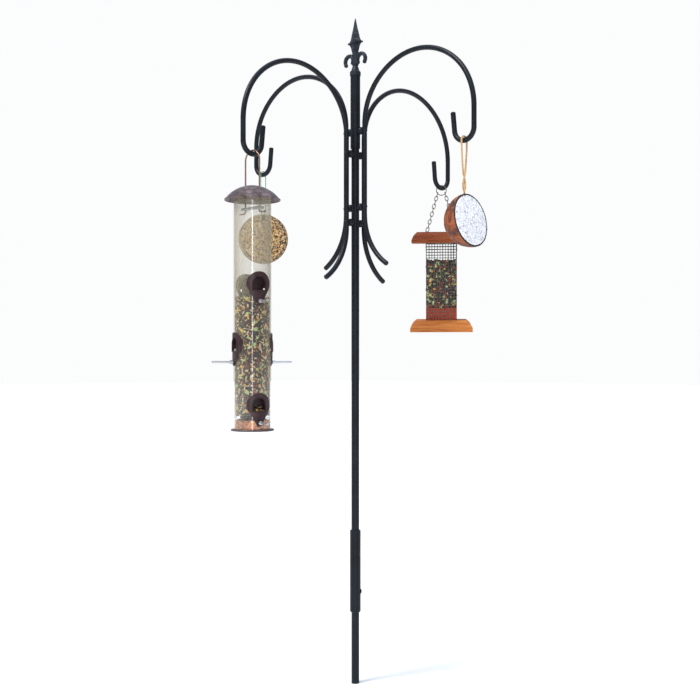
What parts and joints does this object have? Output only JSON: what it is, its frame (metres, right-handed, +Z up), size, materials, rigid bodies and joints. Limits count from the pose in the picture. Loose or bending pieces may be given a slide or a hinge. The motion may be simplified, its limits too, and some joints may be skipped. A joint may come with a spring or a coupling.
{
  "type": "bird feeder on pole",
  "caption": "Garden bird feeding station: a staked tube pole with a spear finial and bent-rod hook arms carrying a tube seed feeder, a mesh nut feeder, a seed cake and a suet-filled coconut",
  "frame": {"origin": "On the pole's axis at ground level, where the pin of the ground spike leaves the pole.", "axes": "+Z is up along the pole. +X runs out along the front right arm, which carries the coconut, and -Y along the front left arm, which carries the tube feeder."},
  "size_m": [0.6337, 0.726, 1.6025],
  "materials": {
    "black_metal": "satin black paint",
    "bail_wire": "bronze-toned wire",
    "bright_steel": "bright zinc",
    "hammered_cap": "hammered mauve-grey enamel",
    "clear_plastic": "clear polycarbonate",
    "brown_plastic": "glossy dark brown",
    "brown_metal": "dark brown enamel",
    "copper": "copper-coloured metal",
    "seed_mix": "loose mixed seed",
    "seed_cake": "pressed seed",
    "green_string": "twisted green string",
    "coconut_husk": "rough coconut shell",
    "suet": "white suet",
    "twine": "jute twine",
    "roof_wood": "red-brown stain",
    "base_wood": "red-brown stain",
    "block_wood": "red-brown stain",
    "mesh_wire": "galvanised wire mesh"
  },
  "bodies": {
    "stake": {"ground_spike": "black_metal", "lower_pole": "black_metal"},
    "mast": {"joint_sleeve": "black_metal", "mast_pole": "black_metal", "head_tube": "black_metal", "finial": "black_metal", "arm_front_right": "black_metal", "arm_back_right": "black_metal", "arm_back_left": "black_metal", "arm_front_left": "black_metal", "upper_ball_spacers": "black_metal", "lower_ball_spacers": "black_metal", "arm_bolts": "black_metal", "arm_nuts": "black_metal"},
    "screw": {"clamp_screw": "black_metal"},
    "tube_feeder": {"tube_bail": "bail_wire", "bail_strap": "bright_steel", "clear_tube": "clear_plastic", "port_upper_front": "brown_plastic", "port_upper_back": "brown_plastic", "port_middle_right": "brown_plastic", "port_middle_left": "brown_plastic", "port_lower_front": "brown_plastic", "port_lower_back": "brown_plastic", "perch_upper": "bright_steel", "perch_middle": "bright_steel", "perch_lower": "bright_steel", "perch_collars": "bright_steel", "tube_base": "brown_metal", "tube_insert": "copper", "base_screws": "bright_steel", "tube_seed": "seed_mix"},
    "tube_lid": {"tube_cap": "hammered_cap"},
    "cake": {"seed_cake": "seed_cake", "cake_string": "green_string"},
    "coconut": {"coconut_shell": "coconut_husk", "coconut_suet": "suet", "coconut_twine": "twine", "twine_knot": "twine"},
    "hanging_ring": {"nut_ring": "bright_steel"},
    "nut_feeder": {"nut_chain_left": "bright_steel", "nut_chain_right": "bright_steel", "nut_cage": "mesh_wire", "nut_tabs": "bright_steel", "nut_block": "block_wood", "nut_base": "base_wood", "nut_screws": "bright_steel", "nut_seed": "seed_mix"},
    "nut_lid": {"nut_roof": "roof_wood"}
  },
  "joints": [
    {"name": "mast_turn", "type": "hinge", "parent": "stake", "child": "mast", "pos_m": [0, 0, 0.23], "axis": [0, 0, 1], "continuous": true},
    {"name": "clamp_screw_turn", "type": "hinge", "parent": "mast", "child": "screw", "pos_m": [0.00566, 0.00566, 0.188], "axis": [0.7071, 0.7071, 0], "continuous": true},
    {"name": "tube_feeder_swing", "type": "hinge", "parent": "mast", "child": "tube_feeder", "pos_m": [0, -0.2807, 1.04634], "axis": [0, 1, 0], "range_deg": [-25, 25]},
    {"name": "tube_cap_lift", "type": "slide", "parent": "tube_feeder", "child": "tube_lid", "axis": [0, 0, 1], "range_m": [0, 0.04]},
    {"name": "seed_cake_swing", "type": "hinge", "parent": "mast", "child": "cake", "pos_m": [-0.2807, 0, 1.07434], "axis": [1, 0, 0], "range_deg": [-25, 25]},
    {"name": "coconut_swing", "type": "hinge", "parent": "mast", "child": "coconut", "pos_m": [0.2807, 0, 1.07434], "axis": [1, 0, 0], "range_deg": [-25, 25]},
    {"name": "nut_ring_swing", "type": "hinge", "parent": "mast", "child": "hanging_ring", "pos_m": [0, 0.2807, 1.04634], "axis": [0, 1, 0], "range_deg": [-25, 25]},
    {"name": "nut_feeder_swing", "type": "hinge", "parent": "hanging_ring", "child": "nut_feeder", "pos_m": [0, 0.2807, 1.04184], "axis": [-0.6293, 0.7771, 0], "range_deg": [-15, 15]},
    {"name": "nut_roof_lift", "type": "slide", "parent": "nut_feeder", "child": "nut_lid", "axis": [0.0548, -0.0677, 0.9962], "range_m": [0, 0.025]}
  ]
}
